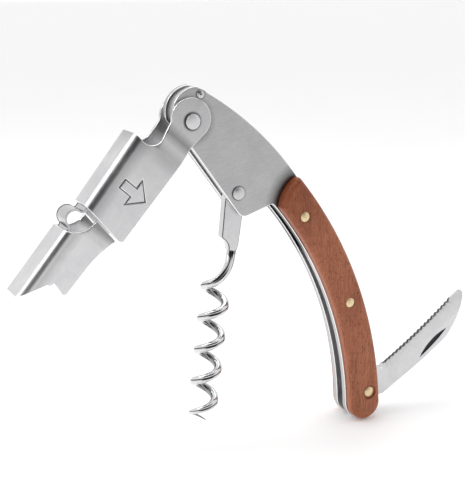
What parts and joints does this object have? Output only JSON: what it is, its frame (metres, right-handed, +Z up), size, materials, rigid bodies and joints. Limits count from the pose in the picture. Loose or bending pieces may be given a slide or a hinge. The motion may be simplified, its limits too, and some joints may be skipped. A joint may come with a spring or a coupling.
{
  "type": "waiters corkscrew",
  "caption": "Folding waiter's corkscrew with a two-step bottle lever, a wire worm, a serrated foil knife and wooden scales on steel liners.",
  "frame": {"origin": "middle brass rivet of the handle, on the centre plane between the two liners", "axes": "+X towards the knife's side, +Y towards the rear scale, +Z up the handle towards the lever's head; the handle stands in the XZ plane and all pins lie along Y"},
  "size_m": [0.1502, 0.0136, 0.1066],
  "materials": {
    "liner_steel": "brushed",
    "lever_steel": "brushed",
    "inner_steel": "dull",
    "strap_steel": "satin",
    "blade_steel": "ground",
    "worm_chrome": "polished",
    "pin_steel": "polished",
    "rivet_brass": "satin",
    "handle_wood": "oiled"
  },
  "bodies": {
    "handle": {"liner_front": "liner_steel", "liner_rear": "liner_steel", "scale_front": "handle_wood", "scale_rear": "handle_wood", "head_spacer": "inner_steel", "back_spring": "inner_steel", "upper_rivet": "rivet_brass", "grip_rivet": "rivet_brass", "knife_pin": "rivet_brass", "worm_pin": "pin_steel", "head_rivet": "pin_steel", "lever_pin": "pin_steel"},
    "lever_upper": {"lever_channel": "lever_steel", "lever_spring": "strap_steel"},
    "lever_foot": {"lever_foot": "lever_steel"},
    "worm": {"worm_tang": "liner_steel", "worm": "worm_chrome"},
    "knife": {"knife_blade": "blade_steel"}
  },
  "joints": [
    {"name": "lever_fold", "type": "hinge", "parent": "handle", "child": "lever_upper", "pos_m": [-0.0512, 0, 0.0579], "axis": [0, -1, 0], "range_deg": [-110, 74]},
    {"name": "lever_flex", "type": "hinge", "parent": "lever_upper", "child": "lever_foot", "pos_m": [-0.08469, 0, 0.03388], "axis": [0, 1, 0], "range_deg": [0, 25], "stiffness_Nm_per_rad": 0.05, "springref_deg": -5.73, "deforming": ["lever_spring"]},
    {"name": "worm_fold", "type": "hinge", "parent": "handle", "child": "worm", "pos_m": [-0.0366, 0, 0.0366], "axis": [0, -1, 0], "range_deg": [-55, 37]},
    {"name": "knife_fold", "type": "hinge", "parent": "handle", "child": "knife", "pos_m": [0.008, 0, -0.0303], "axis": [0, -1, 0], "range_deg": [-112.5, 67.5]}
  ],
  "couplings": [
    {"joint": "worm_fold", "follows": "lever_fold", "ratio": 0.5}
  ]
}
